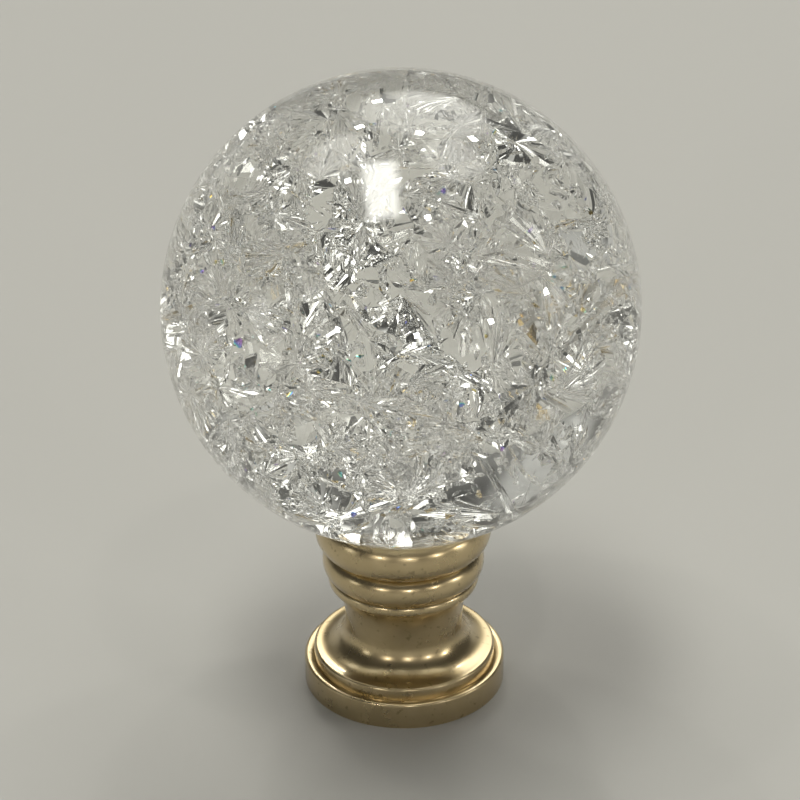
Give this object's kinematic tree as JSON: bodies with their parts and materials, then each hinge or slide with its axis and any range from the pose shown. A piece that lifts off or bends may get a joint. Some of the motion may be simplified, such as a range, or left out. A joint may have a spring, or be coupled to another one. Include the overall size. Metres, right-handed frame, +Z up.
{
  "type": "lamp shade finial",
  "caption": "Lamp shade finial: a clear crackle glass ball held in the cup of a turned satin brass base, tapped underneath for a lamp harp.",
  "frame": {"origin": "centre of the base's flat underside, at the mouth of the tapped hole", "axes": "+Z up along the axis that both pieces are round about; +X and +Y are any two level directions, because the finial is the same all round"},
  "size_m": [0.04, 0.04, 0.0561],
  "materials": {
    "satin_brass": "satin turned brass, lightly lacquered",
    "crackle_glass": "clear polished glass, cracked all through inside"
  },
  "bodies": {
    "root": {"brass_base": "satin_brass", "glass_ball": "crackle_glass"}
  },
  "joints": []
}
